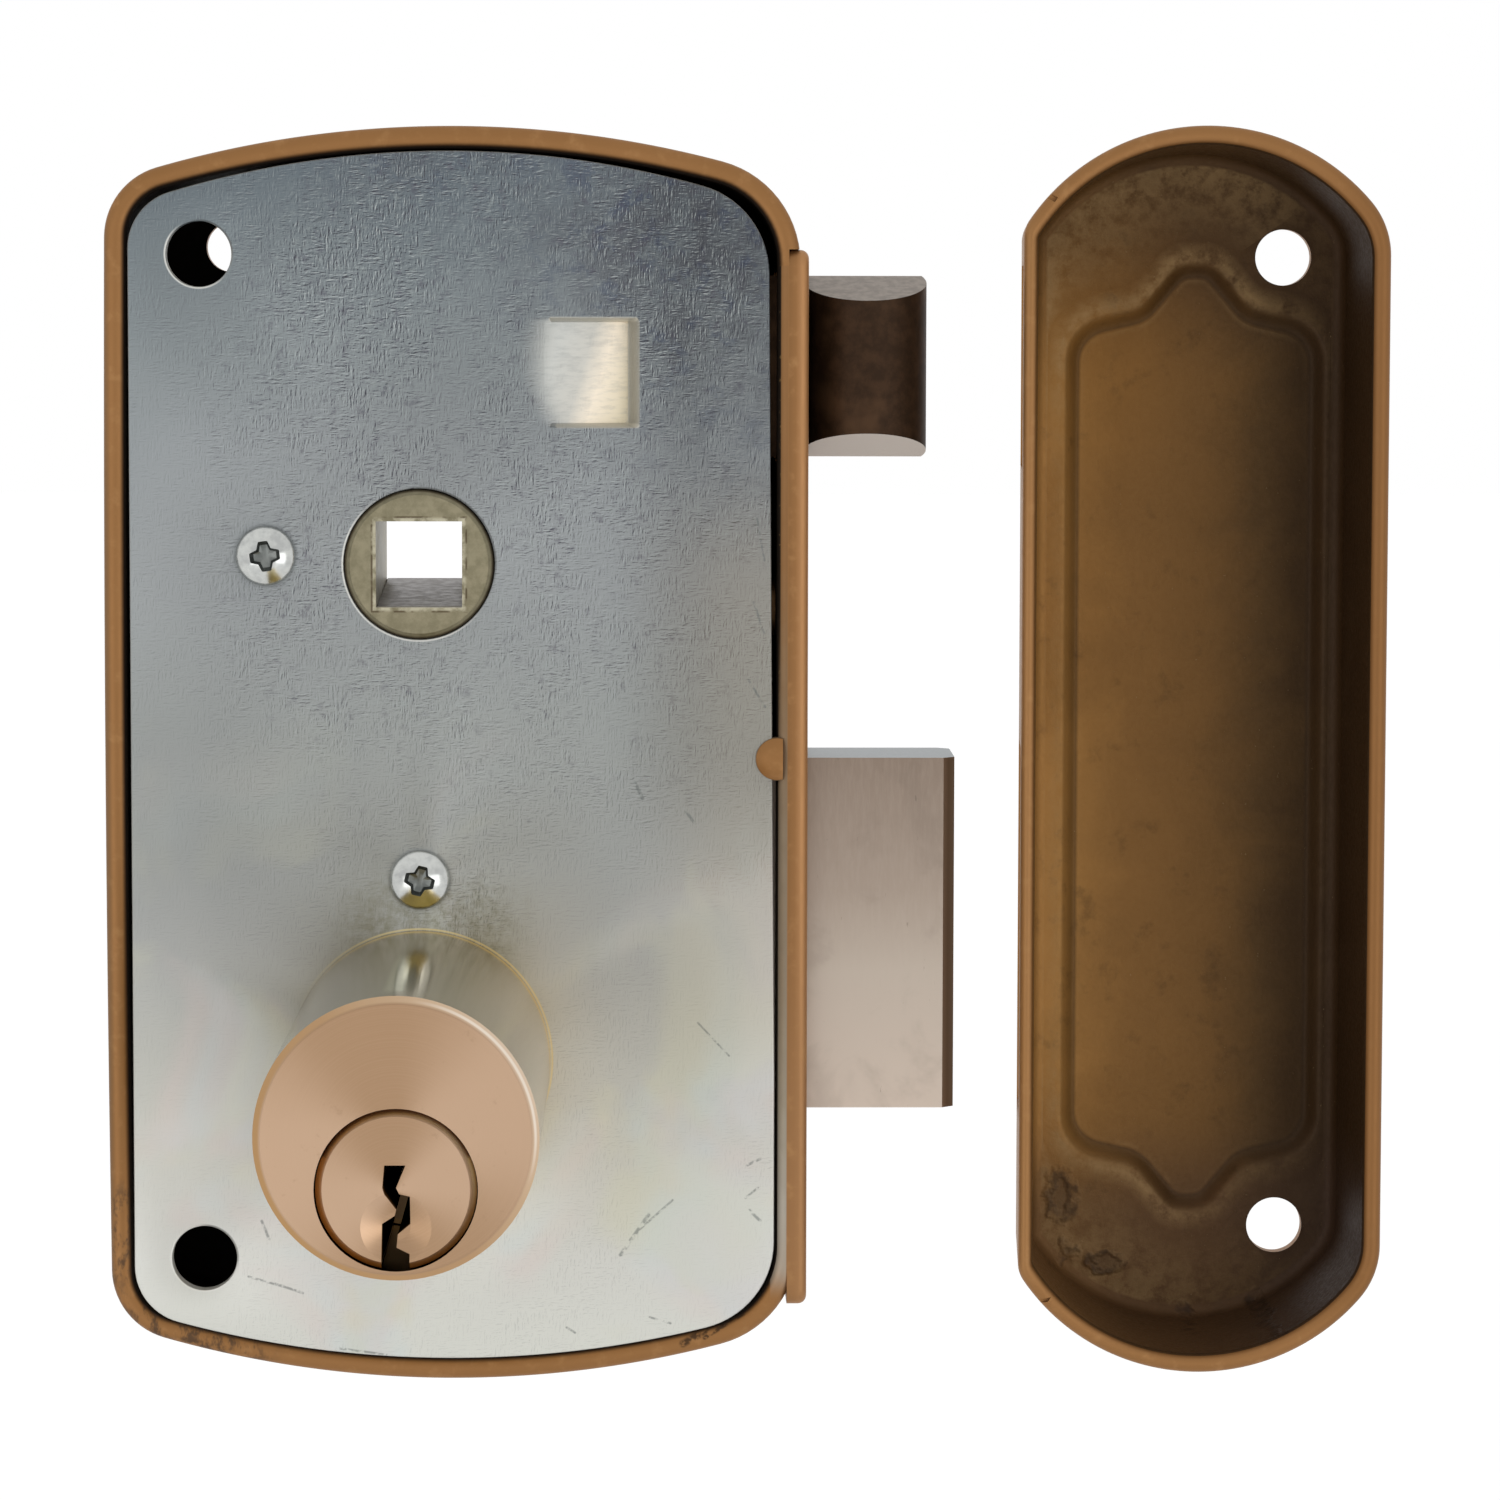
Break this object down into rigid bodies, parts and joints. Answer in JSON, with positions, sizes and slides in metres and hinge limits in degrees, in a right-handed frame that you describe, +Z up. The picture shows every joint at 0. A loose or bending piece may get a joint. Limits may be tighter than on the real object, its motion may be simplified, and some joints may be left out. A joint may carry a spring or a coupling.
{
  "type": "rim box lock",
  "caption": "Surface-mounted rim lock with a handle-worked latch, a key-worked deadbolt, a long outer key cylinder and a matching keep beside it.",
  "frame": {"origin": "on the outer cylinder's axis, where it leaves the face of the mounting plate", "axes": "+X towards the faceplate and the way the bolts shoot, +Y into the room, +Z up"},
  "size_m": [0.1227, 0.077, 0.1205],
  "materials": {
    "case_paint": "gloss ochre-brown enamel, worn at the rim",
    "zinc_steel": "passivated zinc plating, satin with faint colours",
    "bright_zinc": "bright zinc plating",
    "rivet_steel": "dressed flush",
    "cylinder_brass": "turned satin face, polished side",
    "plug_brass": "turned satin face",
    "pin_brass": "turned",
    "spring_steel": "drawn wire and strip",
    "follower_zinc": "die-cast, yellow passivated",
    "latch_steel": "dark sintered steel, ground facets",
    "tail_steel": "punched sheet steel",
    "deadbolt_steel": "ground steel with a faint grain"
  },
  "bodies": {
    "lock_case": {"case_cover": "case_paint", "faceplate": "case_paint", "faceplate_rivets": "rivet_steel", "mounting_plate": "zinc_steel", "plate_screws": "bright_zinc", "plate_posts": "zinc_steel", "post_bush": "zinc_steel", "latch_guide": "zinc_steel", "spring_tab": "zinc_steel", "latch_spring": "spring_steel", "brake_spring": "spring_steel", "outer_cylinder_body": "cylinder_brass", "outer_driver_pins": "pin_brass", "outer_pin_springs": "spring_steel", "outer_chamber_caps": "cylinder_brass", "cylinder_screws": "bright_zinc", "inner_cylinder_body": "cylinder_brass", "inner_driver_pins": "pin_brass", "inner_pin_springs": "spring_steel", "inner_chamber_caps": "cylinder_brass", "keep_shell": "case_paint"},
    "follower": {"follower": "follower_zinc"},
    "latch": {"latch_bolt": "latch_steel", "latch_tail": "tail_steel"},
    "outer_plug": {"outer_plug": "plug_brass", "outer_key_pins": "pin_brass", "drive_crank": "tail_steel", "crank_screw": "bright_zinc"},
    "deadbolt": {"deadbolt_head": "deadbolt_steel", "deadbolt_tail": "tail_steel", "deadbolt_rivets": "rivet_steel"},
    "inner_plug": {"inner_plug": "plug_brass", "inner_key_pins": "pin_brass", "plug_clip": "spring_steel"}
  },
  "joints": [
    {"name": "follower_turn", "type": "hinge", "parent": "lock_case", "child": "follower", "pos_m": [0, 0, 0.0476], "axis": [0, -1, 0], "range_deg": [0, 37.75]},
    {"name": "latch_slide", "type": "slide", "parent": "lock_case", "child": "latch", "axis": [-1, 0, 0], "range_m": [0, 0.011], "stiffness_N_per_m": 350, "springref_m": -0.012, "deforming": ["latch_spring"]},
    {"name": "outer_plug_turn", "type": "hinge", "parent": "lock_case", "child": "outer_plug", "pos_m": [0, 0, -0.00445], "axis": [0, -1, 0], "range_deg": [0, 97.64]},
    {"name": "deadbolt_slide", "type": "slide", "parent": "lock_case", "child": "deadbolt", "axis": [-1, 0, 0], "range_m": [0, 0.0143]},
    {"name": "inner_plug_turn", "type": "hinge", "parent": "lock_case", "child": "inner_plug", "pos_m": [0, 0, -0.00445], "axis": [0, -1, 0], "range_deg": [0, 97.64]}
  ],
  "couplings": [
    {"joint": "follower_turn", "follows": "latch_slide", "rad_per_m": 59.896},
    {"joint": "outer_plug_turn", "follows": "deadbolt_slide", "rad_per_m": 119.17}
  ]
}
